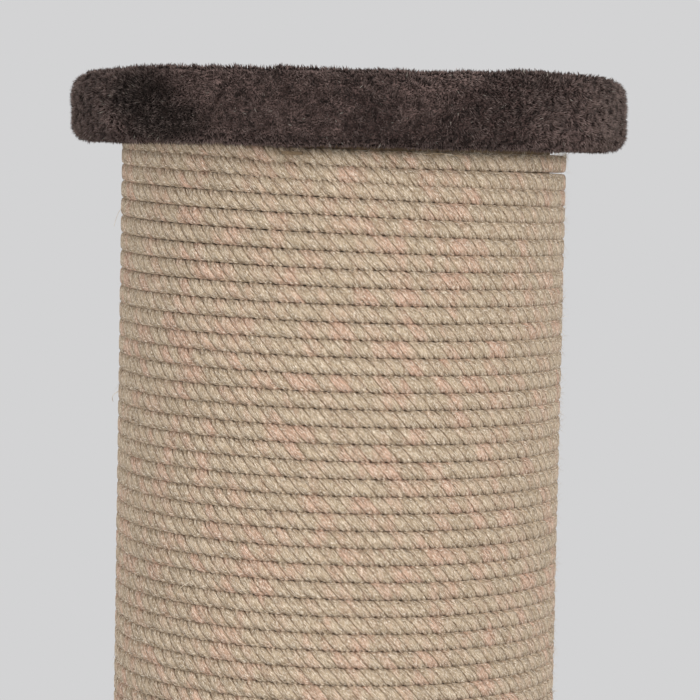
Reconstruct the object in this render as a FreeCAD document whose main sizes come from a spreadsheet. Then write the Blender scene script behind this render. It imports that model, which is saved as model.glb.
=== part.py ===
"""Cat scratching post: a rope-wound cardboard tube bolted between a plush-covered cap and base.

Millimetres, +Z up. The origin is on the floor, under the post's axis. The front is -Y.
The rope starts at the left side, under the cap, and winds down past the front towards +X.
"""

import FreeCAD, Part

import math
import os

import Sketcher
from FreeCAD import Matrix, Placement, Vector

DRIVING_SIZES = (
    # the post's tube
    ("tube_diameter", 150, "outside of the spiral-wound cardboard tube"),
    ("tube_wall", 6, "wall of the tube"),
    ("tube_length", 600, "length of the tube"),
    # the rope
    ("rope_diameter", 6, "three-strand rope, measured across its strands"),
    ("rope_pitch", 5.94, "from one turn to the next, with the rope pressed a little flat"),
    ("rope_turn_gap", 0.44, "left free between the turns that are shown singly"),
    ("rope_start_depth", 3.06, "from the tube's upper rim to the middle of the rope's start"),
    ("rope_start_angle", -100, "where the rope starts, in degrees from the front towards +X"),
    ("rope_staple_angle", -12.3, "where a staple holds the first turn, counted in the same way"),
    ("rope_single_turns", 9, "turns shown singly, from the cap down"),
    ("rope_sides", 4, "flat sides of the rope's section"),
    # boards
    ("base_board_diameter", 390, "round particle board of the base"),
    ("base_board_thickness", 18, "the same"),
    ("cap_board_diameter", 191, "round particle board of the cap"),
    ("cap_board_thickness", 18, "the same"),
    ("plug_thickness", 18, "round boards in the tube's two ends"),
    ("plug_recess", 2, "how far a plug lies inside the tube's end"),
    ("plug_clearance", 0.15, "round a plug, inside the tube"),
    # plush covers
    ("plush_thickness", 5, "backing and pile"),
    ("plush_pressed", 1.5, "plush under the tube's rim"),
    ("plush_folded", 3, "plush turned under the base board"),
    ("plush_fit", 0.2, "round a board's edge, inside its cover"),
    ("plush_round", 6, "how far a cover's upper edge rounds off"),
    ("plush_lower_round", 4, "how far the cap cover's lower edge rounds off"),
    ("plush_fold_margin", 8, "turned-under plush beyond the middle of its staples"),
    ("post_clearance", 0.5, "between the post and the plush that it presses into"),
    # feet
    ("foot_width", 30, "square rubber pad"),
    ("foot_height", 5, "the same"),
    ("foot_inset", 6.4, "from a foot's outer corner to the turned-under plush"),
    ("foot_count", 4, "number of feet"),
    # M8 fasteners
    ("thread_diameter", 8, "bolt, stud and threaded inserts"),
    ("thread_clearance", 0.05, "between thread and insert"),
    ("hole_clearance", 0.25, "round a shank or insert in wood"),
    ("bolt_length", 40, "under the head"),
    ("bolt_head_height", 5.3, "hexagon head"),
    ("bolt_head_flats", 13, "across the flats of the head"),
    ("washer_diameter", 24, "wide washer under the head"),
    ("washer_thickness", 1.6, "the same"),
    ("counterbore_depth", 8, "recess for head and washer in the base board"),
    ("stud_length", 45, "threaded rod between cap and post"),
    ("stud_recess", 1.5, "how far the stud's end lies inside the cap board"),
    ("insert_diameter", 12, "screwed-in threaded insert"),
    ("insert_length", 16, "the same"),
    # staples
    ("staple_width", 10, "outside the two legs"),
    ("staple_wire_width", 1.2, "flat wire"),
    ("staple_wire_thickness", 0.6, "the same"),
    ("staple_leg", 10, "length of a leg under the crown"),
    ("staple_clearance", 0.05, "round a staple in what it holds"),
    ("cap_staple_inset", 7, "from the tube's bore to the staples under the cap"),
    ("cap_staple_count", 6, "number of staples under the cap"),
    ("base_staple_inset", 25, "from the board's edge to the staples under the base"),
    ("base_staple_count", 8, "number of staples under the base"),
    ("plug_staple_count", 3, "staples through the tube into each plug"),
    ("plug_staple_leg", 14, "their legs"),
    ("rope_staple_width", 7.2, "the two staples that hold the rope"),
)

# Where the covers' staples and the tube's staples start, so that none lie one above another
STAPLE_TURN = {"cap": 0.0, "base": 22.5, "top_plug": 30.0, "bottom_plug": 75.0}


class Length:
    """A length in millimetres that also carries its formula over the cells of the sheet."""

    def __init__(self, value, formula):
        self.value = float(value)
        self.formula = formula

    def __add__(self, other):
        return Length(self.value + other.value, f"({self.formula} + {other.formula})")

    def __sub__(self, other):
        return Length(self.value - other.value, f"({self.formula} - {other.formula})")

    def __mul__(self, number):
        return Length(self.value * number, f"({self.formula} * {number})")

    def __truediv__(self, number):
        return Length(self.value / number, f"({self.formula} / {number})")


class Sizes:
    """Reads the sheet's cells by name."""

    def __init__(self, document):
        self.sheet = document.addObject("Spreadsheet::Sheet", "Sizes")
        for row, (name, value, meaning) in enumerate(DRIVING_SIZES, start=1):
            self.sheet.set(f"A{row}", meaning)
            self.sheet.set(f"B{row}", str(value))
            self.sheet.setAlias(f"B{row}", name)
        document.recompute()

    def __getattr__(self, name):
        return Length(self.sheet.get(name), f"Sizes.{name}")


document = FreeCAD.newDocument("cat_scratching_post")
size = Sizes(document)
ON_AXIS = Length(0, "0")

# Heights, from the floor up
base_board_bottom = size.foot_height
base_board_top = base_board_bottom + size.base_board_thickness
base_top = base_board_top + size.plush_thickness
tube_bottom = base_board_top + size.plush_pressed
tube_top = tube_bottom + size.tube_length
cap_board_bottom = tube_top + size.plush_pressed
cap_board_top = cap_board_bottom + size.cap_board_thickness
cap_underside = cap_board_bottom - size.plush_thickness
cap_top = cap_board_top + size.plush_thickness
rope_bottom = base_top + size.rope_turn_gap
bottom_plug_bottom = tube_bottom + size.plug_recess
bottom_plug_top = bottom_plug_bottom + size.plug_thickness
top_plug_top = tube_top - size.plug_recess
top_plug_bottom = top_plug_top - size.plug_thickness
washer_top = base_board_bottom + size.counterbore_depth
washer_bottom = washer_top - size.washer_thickness

# Radii
tube_radius = size.tube_diameter / 2
tube_bore = tube_radius - size.tube_wall
plug_radius = tube_bore - size.plug_clearance
post_radius = tube_radius + size.rope_diameter
post_recess = post_radius + size.post_clearance
base_board_radius = size.base_board_diameter / 2
cap_board_radius = size.cap_board_diameter / 2
thread_radius = size.thread_diameter / 2
bolt_hole = thread_radius + size.hole_clearance
insert_radius = size.insert_diameter / 2
insert_hole = insert_radius + size.hole_clearance
washer_radius = size.washer_diameter / 2
counterbore_radius = washer_radius + size.post_clearance
cap_staple_radius = tube_bore - size.cap_staple_inset
cap_fold_edge = cap_staple_radius - size.plush_fold_margin
base_staple_radius = base_board_radius - size.base_staple_inset
base_fold_edge = base_staple_radius - size.plush_fold_margin


def attach(sketch, body, plane):
    """Lays a sketch on one of its own body's origin planes."""
    for feature in body.Origin.OriginFeatures:
        if feature.Role == plane:
            sketch.AttachmentSupport = [(feature, "")]
    sketch.MapMode = "FlatFace"


def pin_vertex(sketch, line, along, up):
    """Holds a line's first point at two lengths from the sketch's origin."""
    for kind, axis, length in (("DistanceX", -2, along), ("DistanceY", -1, up)):
        if length is ON_AXIS:
            sketch.addConstraint(Sketcher.Constraint("PointOnObject", line, 1, axis))
            continue
        number = sketch.addConstraint(Sketcher.Constraint(kind, -1, 1, line, 1, length.value))
        sketch.setExpression(f"Constraints[{number}]", length.formula)


def draw_outline(sketch, corners):
    """Draws a closed outline of straight lines, each corner a pair of lengths."""
    points = [Vector(along.value, up.value, 0) for along, up in corners]
    first = sketch.GeometryCount
    for start, end in zip(points, points[1:] + points[:1]):
        sketch.addGeometry(Part.LineSegment(start, end))
    count = len(corners)
    for i in range(count):
        line, following = first + i, first + (i + 1) % count
        sketch.addConstraint(Sketcher.Constraint("Coincident", line, 2, following, 1))
    for i, (along, up) in enumerate(corners):
        pin_vertex(sketch, first + i, along, up)


def turned_body(name, *outlines):
    """A body turned about Z from outlines of (radius, height) corners."""
    body = document.addObject("PartDesign::Body", name)
    body.AllowCompound = True
    sketch = body.newObject("Sketcher::SketchObject", name + "_profile")
    attach(sketch, body, "XZ_Plane")
    for corners in outlines:
        draw_outline(sketch, corners)
    turned = body.newObject("PartDesign::Revolution", name + "_turned")
    turned.Profile = sketch
    turned.ReferenceAxis = (sketch, ["V_Axis"])
    turned.Angle = 360
    return body


def ring(inner, outer, bottom, top):
    """The outline of a plain ring or disc."""
    return [(inner, bottom), (outer, bottom), (outer, top), (inner, top)]


# Staples --------------------------------------------------------------------------------------


def staple_shape(width, leg, clearance=0.0):
    """A staple with its crown along X, its legs down -Z and its crown's underside at Z = 0."""
    wire = size.staple_wire_width.value / 2 + clearance
    thickness = size.staple_wire_thickness.value
    outside = width / 2 + clearance
    inside = width / 2 - thickness - clearance
    top, inner_top, foot = thickness + clearance, -clearance, -leg - clearance
    half = [(outside, top), (outside, foot), (inside, foot), (inside, inner_top)]
    corners = half + [(-along, up) for along, up in reversed(half)]
    points = [Vector(along, -wire, up) for along, up in corners]
    face = Part.Face(Part.makePolygon(points + points[:1]))
    return face.extrude(Vector(0, 2 * wire, 0))


def staple_place(position, crown, outward):
    """Turns a staple so that its crown lies along one direction and its back faces another."""
    side = outward.cross(crown)
    turn = Matrix(
        crown.x, side.x, outward.x, position.x,
        crown.y, side.y, outward.y, position.y,
        crown.z, side.z, outward.z, position.z,
        0, 0, 0, 1,
    )
    return Placement(turn)


def directions(degrees):
    """Outward and tangent directions at an angle from the front towards +X."""
    about = math.radians(degrees)
    outward = Vector(math.sin(about), -math.cos(about), 0)
    return outward, Vector(math.cos(about), math.sin(about), 0)


def ring_places(count, turn, place_at):
    """One place per staple, evenly round the axis."""
    return [place_at(*directions(turn + 360 * i / count)) for i in range(count)]


def staples_under(board_face, plush, radius, count, turn):
    """Places for staples that press plush against a board's underside."""
    crown_height = board_face.value - plush.value

    def place_at(outward, tangent):
        position = outward * radius.value + Vector(0, 0, crown_height)
        return staple_place(position, tangent, Vector(0, 0, -1))

    return ring_places(int(count.value), turn, place_at)


def staples_round(middle, turn):
    """Places for staples driven flush through the tube, each crown upright."""
    depth = tube_radius.value - size.staple_wire_thickness.value - size.staple_clearance.value

    def place_at(outward, tangent):
        position = outward * depth + Vector(0, 0, middle)
        return staple_place(position, Vector(0, 0, 1), outward)

    return ring_places(int(size.plug_staple_count.value), turn, place_at)


def stapled(places, width, leg, clearance=0.0):
    """Staples at several places, as one compound."""
    shapes = []
    for place in places:
        shape = staple_shape(width.value, leg.value, clearance)
        shape.Placement = place
        shapes.append(shape)
    return Part.makeCompound(shapes)


def add_shape(name, shape):
    """A Part::Feature for a shape made by Part's own functions."""
    feature = document.addObject("Part::Feature", name)
    feature.Shape = shape
    return feature


def add_staples(name, *rows):
    """The node of one kind of staple, and the slots that its staples need, with their clearance."""
    metal = [staple for row in rows for staple in stapled(*row).Solids]
    clearance = size.staple_clearance.value
    slots = [staple for row in rows for staple in stapled(*row, clearance).Solids]
    add_shape(name, Part.makeCompound(metal))
    return add_shape(name + "_slots", Part.makeCompound(slots))


def with_slots(name, blank, *slots):
    """A piece with the slots of its staples cut out of it."""
    piece = blank
    for number, tool in enumerate(slots, start=1):
        last = number == len(slots)
        cut = document.addObject("Part::Cut", name if last else f"{name}_cut")
        cut.Base = piece
        cut.Tool = tool
        piece = cut
    return piece


# Rope -----------------------------------------------------------------------------------------


def arc_through(start, heading, end):
    """The arc that leaves start along heading and reaches end, as Part.Arc's middle point."""
    chord = end - start
    turn = heading.getAngle(chord)
    side = heading - chord * (heading.dot(chord) / chord.dot(chord))
    side.normalize()
    return (start + end) * 0.5 + side * (chord.Length / 2 * math.tan(turn / 2))


def biarc(start, start_heading, end, end_heading):
    """Two arcs that meet smoothly between two points with given headings."""
    chord = end - start
    both = start_heading + end_heading
    spread = 2 * (1 - start_heading.dot(end_heading))
    root = math.sqrt(chord.dot(both) ** 2 + spread * chord.dot(chord))
    reach = (root - chord.dot(both)) / spread
    meeting = (start + end + (start_heading - end_heading) * reach) * 0.5
    first_middle = arc_through(start, start_heading, meeting)
    second_middle = arc_through(end, end_heading * -1, meeting)
    return [
        Part.Arc(start, first_middle, meeting).toShape(),
        Part.Arc(meeting, second_middle, end).toShape(),
    ]


class Winding:
    """The rope's centreline: a helix about Z that steps down one pitch a turn."""

    def __init__(self, radius, pitch, start_degrees, start_height):
        self.radius = radius
        self.pitch = pitch
        self.start_degrees = start_degrees
        self.start_height = start_height

    def point(self, turns):
        outward, _ = directions(self.start_degrees + 360 * turns)
        return outward * self.radius + Vector(0, 0, self.start_height - self.pitch * turns)

    def heading(self, turns):
        _, tangent = directions(self.start_degrees + 360 * turns)
        slope = Vector(0, 0, -self.pitch / (2 * math.pi * self.radius))
        return (tangent + slope).normalize()

    def path(self, first, last, pieces_per_turn=2):
        """Edges of biarcs between two turn counts, each biarc a half turn or less."""
        count = math.ceil((last - first) * pieces_per_turn)
        stops = [first + (last - first) * i / count for i in range(count + 1)]
        edges = []
        for here, there in zip(stops, stops[1:]):
            edges += biarc(
                self.point(here), self.heading(here), self.point(there), self.heading(there)
            )
        return edges


def regular_section(centre, heading, radius, sides, turn):
    """A regular polygon square to a heading, its first corner turned from straight outwards."""
    across = heading.cross(Vector(0, 0, 1)).normalize()
    up = across.cross(heading)
    corners = []
    for i in range(sides):
        about = turn + 2 * math.pi * i / sides
        corners.append(centre + across * (radius * math.cos(about)) + up * (radius * math.sin(about)))
    return Part.makePolygon(corners + corners[:1])


def swept(edges, section):
    """A solid pipe shell in its default mode."""
    return Part.Wire(edges).makePipeShell([section], True, False)


def least_gap(winding, turns, tube_diameter):
    """Least distance between the single turns, measured on points of the path."""
    per_turn = 72
    half, most = per_turn // 2, int(turns * per_turn)
    points = [winding.point(i / per_turn) for i in range(most + 1)]
    least = math.inf
    for i, point in enumerate(points):
        for other in points[i + half : i + 3 * half]:
            least = min(least, (point - other).Length)
    return least - tube_diameter


def rope_winding():
    """The centreline of the whole rope."""
    return Winding(
        (tube_radius + size.rope_diameter / 2).value,
        size.rope_pitch.value,
        size.rope_start_angle.value,
        (tube_top - size.rope_start_depth).value,
    )


def rope_staple_places():
    """Places for the staples over the rope's first turn and its lower end."""
    winding = rope_winding()
    end_height = (rope_bottom + size.rope_diameter / 2).value
    all_turns = (winding.start_height - end_height) / winding.pitch
    first_staple = (size.rope_staple_angle.value - winding.start_degrees) / 360
    back = post_radius.value + size.staple_clearance.value
    places = []
    for turns in (first_staple, all_turns):
        outward, tangent = directions(winding.start_degrees + 360 * turns)
        position = outward * back + Vector(0, 0, winding.point(turns).z)
        places.append(staple_place(position, tangent, outward))
    return places


def make_rope():
    """The rope: its first turns as one unbroken tube that runs into a plain sleeve for the rest."""
    winding = rope_winding()
    pitch = winding.pitch
    tube_diameter = pitch - size.rope_turn_gap.value
    single_turns = size.rope_single_turns.value

    # the tube, with a straight run of one diameter at each end
    start, start_heading = winding.point(0), winding.heading(0)
    end, end_heading = winding.point(single_turns), winding.heading(single_turns)
    rope_start = start - start_heading * tube_diameter
    step = end + end_heading * tube_diameter
    seated = step + end_heading * size.rope_turn_gap.value
    edges = [Part.makeLine(rope_start, start)]
    edges += winding.path(0, single_turns)
    edges += [Part.makeLine(end, seated)]
    # the section turns slowly as the helix steps down, so it starts half of that way back
    whole_twist = pitch / winding.radius * single_turns
    section = regular_section(
        rope_start, start_heading, tube_diameter / 2, int(size.rope_sides.value), whole_twist / 2
    )
    tube = swept(edges, section)
    length = Part.Wire(edges).Length
    expected = Part.Face(section).Area * length
    print(f"rope tube: volume over section times length {tube.Volume / expected:.4f}")
    print(f"rope tube: least gap to itself {least_gap(winding, single_turns, tube_diameter):.2f} mm")

    # the sleeve, whose top steps down one pitch round the post, as the next turn does
    inner = tube_radius.value + (size.rope_diameter.value - tube_diameter) / 2
    outer = post_radius.value
    bottom = rope_bottom.value
    top = step.z + tube_diameter / 2
    base = Vector(0, 0, bottom)
    sleeve = Part.makeCylinder(outer, top - bottom, base)
    sleeve = sleeve.cut(Part.makeCylinder(inner, top - bottom, base))
    over_angle = math.degrees(math.atan2(tube_diameter, winding.radius))
    step_degrees = winding.start_degrees + 360 * single_turns + over_angle
    next_turn = Winding(winding.radius, pitch, step_degrees, step.z)
    above = above_ramp(next_turn, end_heading, tube_diameter / 2, 2 * (outer - inner))
    return sleeve.cut(above).fuse(tube)


def above_ramp(winding, last_heading, rise, reach):
    """What lies above the sleeve's ramp, down one turn that ends square under its start."""
    level_part = 0.05
    quarters = [level_part + (1 - level_part) * i / 4 for i in range(5)]
    headings = [winding.heading(turns) for turns in quarters[:-1]] + [last_heading]
    places = [(winding.point(turns), heading) for turns, heading in zip(quarters, headings)]
    edges = []
    for here, there in zip(places, places[1:]):
        edges += biarc(*here, *there)
    start, heading = places[0]
    across = heading.cross(Vector(0, 0, 1)).normalize() * reach
    up = across.cross(heading).normalize()
    low, high = start + up * rise, start + up * (rise + 2 * winding.pitch)
    corners = [low - across, low + across, high + across, high - across]
    return swept(edges, Part.makePolygon(corners + corners[:1]))


# Base -----------------------------------------------------------------------------------------

base_slots = add_staples(
    "base_cover_staples",
    (
        staples_under(
            base_board_bottom,
            size.plush_folded,
            base_staple_radius,
            size.base_staple_count,
            STAPLE_TURN["base"],
        ),
        size.staple_width,
        size.staple_leg,
    ),
)
base_board_blank = turned_body(
    "base_board_blank",
    [
        (counterbore_radius, base_board_bottom),
        (base_board_radius, base_board_bottom),
        (base_board_radius, base_board_top),
        (bolt_hole, base_board_top),
        (bolt_hole, washer_top),
        (counterbore_radius, washer_top),
    ],
)
with_slots("base_board", base_board_blank, base_slots)

base_fold_bottom = base_board_bottom - size.plush_folded
base_inside = base_board_radius + size.plush_fit
base_outside = base_board_radius + size.plush_thickness
base_cover_blank = turned_body(
    "base_cover_blank",
    [
        (base_fold_edge, base_board_bottom),
        (base_fold_edge, base_fold_bottom),
        (base_outside, base_fold_bottom),
        (base_outside, base_top - size.plush_round),
        (base_outside - size.plush_round, base_top),
        (post_recess, base_top),
        (post_recess, tube_bottom),
        (insert_hole, tube_bottom),
        (insert_hole, base_board_top),
        (base_inside, base_board_top),
        (base_inside, base_board_bottom),
    ],
)
with_slots("base_cover", base_cover_blank, base_slots)


def make_feet():
    """Square pads under the base board."""
    body = document.addObject("PartDesign::Body", "base_feet")
    body.AllowCompound = True
    sketch = body.newObject("Sketcher::SketchObject", "foot_outline")
    attach(sketch, body, "XY_Plane")
    far = (base_fold_edge - size.foot_inset) / math.sqrt(2)
    near = far - size.foot_width
    draw_outline(sketch, ring(near, far, near, far))
    pad = body.newObject("PartDesign::Pad", "foot_pad")
    pad.Profile = sketch
    pad.setExpression("Length", size.foot_height.formula)
    pattern = body.newObject("PartDesign::PolarPattern", "foot_pattern")
    pattern.Originals = [pad]
    pattern.Axis = (sketch, ["N_Axis"])
    pattern.Angle = 360
    pattern.setExpression("Occurrences", size.foot_count.formula)
    body.Tip = pattern


make_feet()


# Bolt, washer, stud and inserts ------------------------------------------------------------------


def round_bar(name, radius, bottom, length):
    """A plain cylinder on the axis."""
    bar = document.addObject("Part::Cylinder", name)
    bar.setExpression("Radius", radius.formula)
    bar.setExpression("Height", length.formula)
    bar.setExpression("Placement.Base.z", bottom.formula)
    return bar


def make_bolt():
    """Hexagon bolt, head down."""
    head = document.addObject("Part::Prism", "bolt_head")
    head.Polygon = 6
    corner_radius = size.bolt_head_flats / (2 * math.cos(math.pi / head.Polygon))
    head.setExpression("Circumradius", corner_radius.formula)
    head.setExpression("Height", size.bolt_head_height.formula)
    head.setExpression("Placement.Base.z", (washer_bottom - size.bolt_head_height).formula)
    shank = round_bar("bolt_shank", thread_radius, washer_bottom, size.bolt_length)
    bolt = document.addObject("Part::Fuse", "base_bolt")
    bolt.Base = head
    bolt.Tool = shank
    return bolt


def bored(name, radius, bottom, top):
    """A round board with a hole for a threaded insert."""
    return turned_body(name, ring(insert_hole, radius, bottom, top))


def threaded_insert(face, up):
    """Outline of an insert flush in a board's upper or lower face."""
    bore = thread_radius + size.thread_clearance
    if up:
        return ring(bore, insert_radius, face - size.insert_length, face)
    return ring(bore, insert_radius, face, face + size.insert_length)


make_bolt()
turned_body("base_washer", ring(bolt_hole, washer_radius, washer_bottom, washer_top))
stud_bottom = cap_board_top - size.stud_recess - size.stud_length
round_bar("cap_stud", thread_radius, stud_bottom, size.stud_length)
insert_outlines = (
    threaded_insert(bottom_plug_top, up=True),
    threaded_insert(top_plug_bottom, up=False),
    threaded_insert(cap_board_top, up=True),
)
turned_body("threaded_inserts", *insert_outlines)


# Post -----------------------------------------------------------------------------------------

plug_slots = add_staples(
    "plug_staples",
    (
        staples_round((bottom_plug_bottom + bottom_plug_top).value / 2, STAPLE_TURN["bottom_plug"]),
        size.staple_width,
        size.plug_staple_leg,
    ),
    (
        staples_round((top_plug_bottom + top_plug_top).value / 2, STAPLE_TURN["top_plug"]),
        size.staple_width,
        size.plug_staple_leg,
    ),
)
bottom_plug_blank = bored("bottom_plug_blank", plug_radius, bottom_plug_bottom, bottom_plug_top)
with_slots("bottom_plug", bottom_plug_blank, plug_slots)
top_plug_blank = bored("top_plug_blank", plug_radius, top_plug_bottom, top_plug_top)
with_slots("top_plug", top_plug_blank, plug_slots)

places_on_rope = rope_staple_places()
rope_slots = add_staples(
    "rope_staples",
    (places_on_rope, size.rope_staple_width, size.staple_leg),
)
post_tube_blank = turned_body(
    "post_tube_blank", ring(tube_bore, tube_radius, tube_bottom, tube_top)
)
with_slots("post_tube", post_tube_blank, plug_slots, rope_slots)
with_slots("sisal_rope", add_shape("sisal_rope_blank", make_rope()), rope_slots)


# Cap ------------------------------------------------------------------------------------------

cap_slots = add_staples(
    "cap_cover_staples",
    (
        staples_under(
            cap_board_bottom,
            size.plush_pressed,
            cap_staple_radius,
            size.cap_staple_count,
            STAPLE_TURN["cap"],
        ),
        size.staple_width,
        size.staple_leg,
    ),
)
cap_board_blank = bored("cap_board_blank", cap_board_radius, cap_board_bottom, cap_board_top)
with_slots("cap_board", cap_board_blank, cap_slots)

cap_inside = cap_board_radius + size.plush_fit
cap_outside = cap_board_radius + size.plush_thickness
cap_cover_blank = turned_body(
    "cap_cover_blank",
    [
        (cap_fold_edge, cap_board_bottom),
        (cap_fold_edge, tube_top),
        (post_recess, tube_top),
        (post_recess, cap_underside),
        (cap_outside - size.plush_lower_round, cap_underside),
        (cap_outside, cap_underside + size.plush_lower_round),
        (cap_outside, cap_top - size.plush_round),
        (cap_outside - size.plush_round, cap_top),
        (ON_AXIS, cap_top),
        (ON_AXIS, cap_board_top),
        (cap_inside, cap_board_top),
        (cap_inside, cap_board_bottom),
    ],
)
with_slots("cap_cover", cap_cover_blank, cap_slots)


# Check and write -------------------------------------------------------------------------------

SINGLE_PIECES = (
    "base_board",
    "base_cover",
    "base_bolt",
    "base_washer",
    "bottom_plug",
    "top_plug",
    "post_tube",
    "sisal_rope",
    "cap_stud",
    "cap_board",
    "cap_cover",
)
GROUPS = {
    "base_feet": size.foot_count.value,
    "base_cover_staples": size.base_staple_count.value,
    "plug_staples": 2 * size.plug_staple_count.value,
    "rope_staples": len(places_on_rope),
    "cap_cover_staples": size.cap_staple_count.value,
    "threaded_inserts": len(insert_outlines),
}


def write_piece(node):
    """Writes one node's shape and returns its number of solids."""
    shape = document.getObjectsByLabel(node)[0].Shape
    if shape.isNull() or not shape.isValid():
        raise RuntimeError(f"{node} has no valid shape")
    shape.exportStep(f"parts/{node}.step")
    print(f"{node}: {len(shape.Solids)} solid(s), {shape.Volume / 1000:.1f} cm3")
    return len(shape.Solids)


document.recompute()
for feature in document.Objects:
    if "Invalid" in feature.State or "Error" in feature.State:
        raise RuntimeError(f"{feature.Label} failed: {feature.State}")

os.makedirs("parts", exist_ok=True)
for node in SINGLE_PIECES:
    if write_piece(node) > 1:
        raise RuntimeError(f"{node} is in more than one solid")
for node, expected in GROUPS.items():
    if write_piece(node) != expected:
        raise RuntimeError(f"{node} has another number of solids than its pieces")
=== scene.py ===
import math

import bmesh
import bpy
from mathutils import Matrix, Vector, noise


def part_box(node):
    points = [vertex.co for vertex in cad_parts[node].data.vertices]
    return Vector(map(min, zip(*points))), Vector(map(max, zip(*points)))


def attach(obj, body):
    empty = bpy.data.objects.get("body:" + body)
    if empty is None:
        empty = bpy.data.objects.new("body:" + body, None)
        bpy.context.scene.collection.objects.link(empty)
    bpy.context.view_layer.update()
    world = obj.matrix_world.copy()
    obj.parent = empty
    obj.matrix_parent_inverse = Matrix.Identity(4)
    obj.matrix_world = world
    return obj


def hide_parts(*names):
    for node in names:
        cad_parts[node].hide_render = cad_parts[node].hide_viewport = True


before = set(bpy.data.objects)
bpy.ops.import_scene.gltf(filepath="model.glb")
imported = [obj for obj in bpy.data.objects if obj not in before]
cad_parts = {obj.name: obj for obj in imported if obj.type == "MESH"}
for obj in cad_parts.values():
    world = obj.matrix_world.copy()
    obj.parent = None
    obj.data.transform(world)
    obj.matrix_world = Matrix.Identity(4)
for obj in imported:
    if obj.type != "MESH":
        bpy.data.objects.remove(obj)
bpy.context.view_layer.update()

MM = 0.001
TURN = 2 * math.pi

# Sizes of the real post, in millimetres
TUBE_RADIUS = 75.0
ROPE_RADIUS = 3.0
POST_RADIUS = TUBE_RADIUS + 2 * ROPE_RADIUS
PITCH = 5.94
LAY_LENGTH = 15.2
BASE_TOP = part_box("base_cover")[1].z / MM
CAP_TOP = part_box("cap_cover")[1].z / MM
CAP_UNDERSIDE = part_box("cap_cover")[0].z / MM
TUBE_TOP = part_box("post_tube")[1].z / MM
START_DEGREES = 104.0  # from the front back to the rope's start, towards -X
FRONT_DEPTH = 1.68  # from the cap's underside to the rope's middle, at the front
END_GAP = 0.44  # below the last turn, above the base's plush
START_ANGLE = -math.radians(START_DEGREES)
START_HEIGHT = CAP_UNDERSIDE - FRONT_DEPTH + PITCH * START_DEGREES / 360
END_HEIGHT = BASE_TOP + END_GAP + ROPE_RADIUS
TURNS = (START_HEIGHT - END_HEIGHT) / PITCH


# Node trees -----------------------------------------------------------------------------------


def connect(tree, value, socket):
    """Feeds a socket from a field, or sets it to a plain value."""
    if isinstance(value, Field):
        tree.links.new(value.socket, socket)
    elif value is not None:
        socket.default_value = value


class Field:
    """A value in a node tree, so that a formula in nodes reads as arithmetic."""

    def __init__(self, tree, socket):
        self.tree, self.socket = tree, socket

    def math(self, operation, *others):
        node = self.tree.nodes.new("ShaderNodeMath")
        node.operation = operation
        for value, socket in zip((self, *others), node.inputs):
            connect(self.tree, value, socket)
        return Field(self.tree, node.outputs[0])

    def flipped(self, operation, other):
        node = self.tree.nodes.new("ShaderNodeMath")
        node.operation = operation
        connect(self.tree, other, node.inputs[0])
        connect(self.tree, self, node.inputs[1])
        return Field(self.tree, node.outputs[0])

    def __add__(self, other):
        return self.math("ADD", other)

    def __sub__(self, other):
        return self.math("SUBTRACT", other)

    def __rsub__(self, other):
        return self.flipped("SUBTRACT", other)

    def __mul__(self, other):
        return self.math("MULTIPLY", other)

    def __truediv__(self, other):
        return self.math("DIVIDE", other)

    __radd__, __rmul__ = __add__, __mul__

    def sin(self):
        return self.math("SINE")

    def cos(self):
        return self.math("COSINE")

    def between(self, low, high):
        """0 at low, 1 at high, and smooth between."""
        node = self.tree.nodes.new("ShaderNodeMapRange")
        node.interpolation_type = "SMOOTHSTEP"
        connect(self.tree, self, node.inputs[0])
        node.inputs[1].default_value, node.inputs[2].default_value = low, high
        return Field(self.tree, node.outputs[0])


def add_node(tree, kind, inputs=None, output=0, **settings):
    """A node with its settings and inputs, as the field of one of its outputs."""
    node = tree.nodes.new(kind)
    for name, value in settings.items():
        setattr(node, name, value)
    for name, value in (inputs or {}).items():
        connect(tree, value, node.inputs[name])
    return Field(tree, node.outputs[output])


def new_group(name, kind, inputs, outputs):
    """An empty node group, its input fields by name and its output node."""
    tree = bpy.data.node_groups.new(name, kind)
    for label, (socket_type, default) in inputs.items():
        socket = tree.interface.new_socket(label, in_out="INPUT", socket_type=socket_type)
        if default is not None:
            socket.default_value = default
    for label, socket_type in outputs.items():
        tree.interface.new_socket(label, in_out="OUTPUT", socket_type=socket_type)
    group_input = tree.nodes.new("NodeGroupInput")
    fields = {label: Field(tree, group_input.outputs[label]) for label in inputs}
    return tree, fields, tree.nodes.new("NodeGroupOutput")


FLOAT, INTEGER, GEOMETRY = "NodeSocketFloat", "NodeSocketInt", "NodeSocketGeometry"
MATERIAL = "NodeSocketMaterial"


def store(tree, geometry, name, value, data_type="FLOAT"):
    """Keeps a field on the points under a name that the materials read."""
    node = tree.nodes.new("GeometryNodeStoreNamedAttribute")
    node.data_type = data_type
    node.domain = "POINT"
    connect(tree, geometry, node.inputs["Geometry"])
    node.inputs["Name"].default_value = name
    connect(tree, value, node.inputs["Value"])
    return Field(tree, node.outputs[0])


def xyz(tree, x, y, z):
    return add_node(tree, "ShaderNodeCombineXYZ", {"X": x, "Y": y, "Z": z})


def split(tree, vector, axis):
    """One coordinate of a vector."""
    return add_node(tree, "ShaderNodeSeparateXYZ", {"Vector": vector}, axis)


def vector_math(tree, operation, *values, output=0):
    inputs = dict(enumerate(values))
    return add_node(tree, "ShaderNodeVectorMath", inputs, output, operation=operation)


def random_value(tree, low, high, seed):
    """A number of its own for each point, which the seed settles."""
    return add_node(tree, "FunctionNodeRandomValue", {2: low, 3: high, "Seed": seed}, output=1)


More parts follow.
